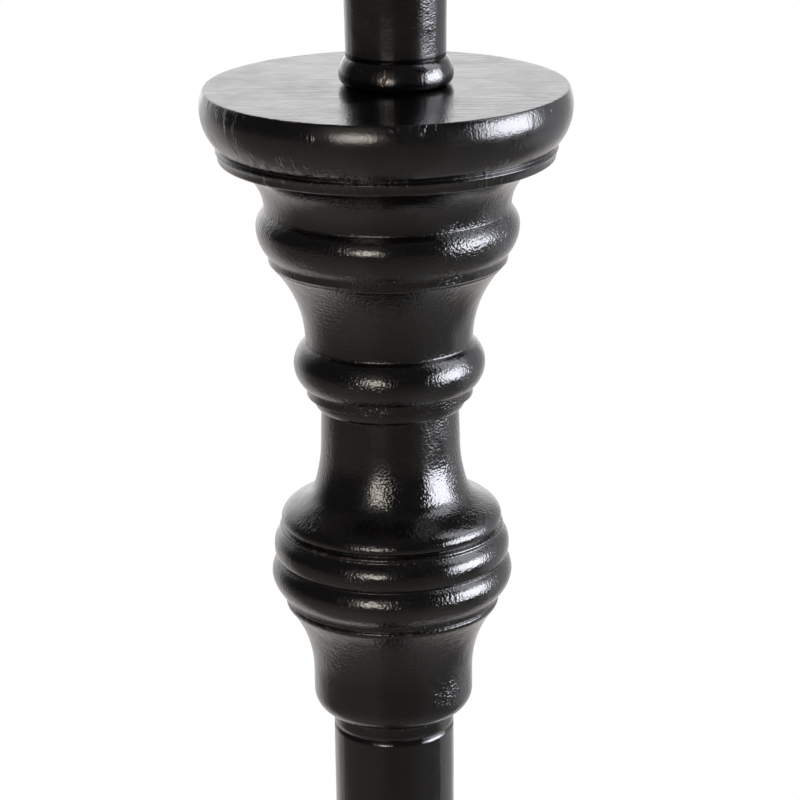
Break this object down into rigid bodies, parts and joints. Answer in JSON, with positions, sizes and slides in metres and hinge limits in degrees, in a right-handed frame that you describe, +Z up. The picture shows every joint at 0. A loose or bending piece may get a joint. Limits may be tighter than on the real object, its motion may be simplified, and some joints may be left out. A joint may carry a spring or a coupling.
{
  "type": "floor lamp",
  "caption": "Turned candlestick floor lamp: stepped round base, baluster, pole, capital with flat drip pan and candle tube, harp and tapered drum shade.",
  "frame": {"origin": "on the floor, under the middle of the base", "axes": "+Z up along the stem; the front is -Y; the cord inlet is at +Y; the harp's legs are at -X and +X"},
  "size_m": [0.3999, 0.4, 1.541],
  "materials": {
    "lacquered_wood": "satin black lacquer over turned wood",
    "felt": "dark green wool felt",
    "cast_iron": "as cast, dark",
    "zinc_steel": "zinc plated",
    "brass": "satin lacquered brass",
    "black_plastic": "moulded",
    "liner_card": "insulating card",
    "phenolic": "moulded phenolic",
    "aluminium": "rolled",
    "opal_glass": "white coated bulb glass",
    "shade_linen": "off-white linen on a stiff lining"
  },
  "bodies": {
    "root": {"felt_pad": "felt", "base_foot": "lacquered_wood", "base_weight": "cast_iron", "weight_screws": "zinc_steel", "cord_bushing": "black_plastic", "base_plinth": "lacquered_wood", "lower_baluster": "lacquered_wood", "lower_pole": "lacquered_wood", "mid_knop": "lacquered_wood", "upper_pole": "lacquered_wood", "capital_spindle": "lacquered_wood", "drip_pan": "lacquered_wood", "candle_ring": "lacquered_wood", "candle_tube": "lacquered_wood", "threaded_rod_lower": "zinc_steel", "threaded_rod_upper": "zinc_steel", "rod_coupler": "zinc_steel", "base_washer": "zinc_steel", "base_nut": "zinc_steel", "lock_nut": "brass", "tube_cap": "brass", "harp_saddle": "brass", "socket_cap": "brass", "socket_shell": "brass", "socket_liner": "liner_card", "socket_core": "phenolic", "screw_shell": "aluminium", "centre_contact": "brass"},
    "switch": {"switch_stem": "brass", "switch_knob": "black_plastic"},
    "bulb": {"bulb_contact": "zinc_steel", "bulb_base": "aluminium", "bulb_glass": "opal_glass"},
    "harp": {"harp": "brass"},
    "sleeve_left": {"harp_sleeve_left": "brass"},
    "sleeve_right": {"harp_sleeve_right": "brass"},
    "swivel": {"harp_stud": "brass"},
    "shade": {"shade_fabric": "shade_linen", "shade_spider": "brass", "shade_bottom_ring": "brass"},
    "finial": {"finial": "brass"}
  },
  "joints": [
    {"name": "switch_turn", "type": "hinge", "parent": "root", "child": "switch", "pos_m": [0, -0.02, 1.3282], "axis": [0, -1, 0], "continuous": true},
    {"name": "bulb_lift", "type": "slide", "parent": "root", "child": "bulb", "axis": [0, 0, 1], "range_m": [0, 0.03]},
    {"name": "harp_lift", "type": "slide", "parent": "root", "child": "harp", "axis": [0, 0, 1], "range_m": [0, 0.02]},
    {"name": "sleeve_left_slide", "type": "slide", "parent": "harp", "child": "sleeve_left", "axis": [0, 0, 1], "range_m": [0, 0.007]},
    {"name": "sleeve_right_slide", "type": "slide", "parent": "harp", "child": "sleeve_right", "axis": [0, 0, 1], "range_m": [0, 0.007]},
    {"name": "shade_turn", "type": "hinge", "parent": "harp", "child": "swivel", "pos_m": [0, 0, 1.505], "axis": [0, 0, 1], "continuous": true},
    {"name": "shade_lift", "type": "slide", "parent": "swivel", "child": "shade", "axis": [0, 0, 1], "range_m": [0, 0.28]},
    {"name": "finial_turn", "type": "hinge", "parent": "shade", "child": "finial", "pos_m": [0, 0, 1.52], "axis": [0, 0, 1], "continuous": true}
  ]
}
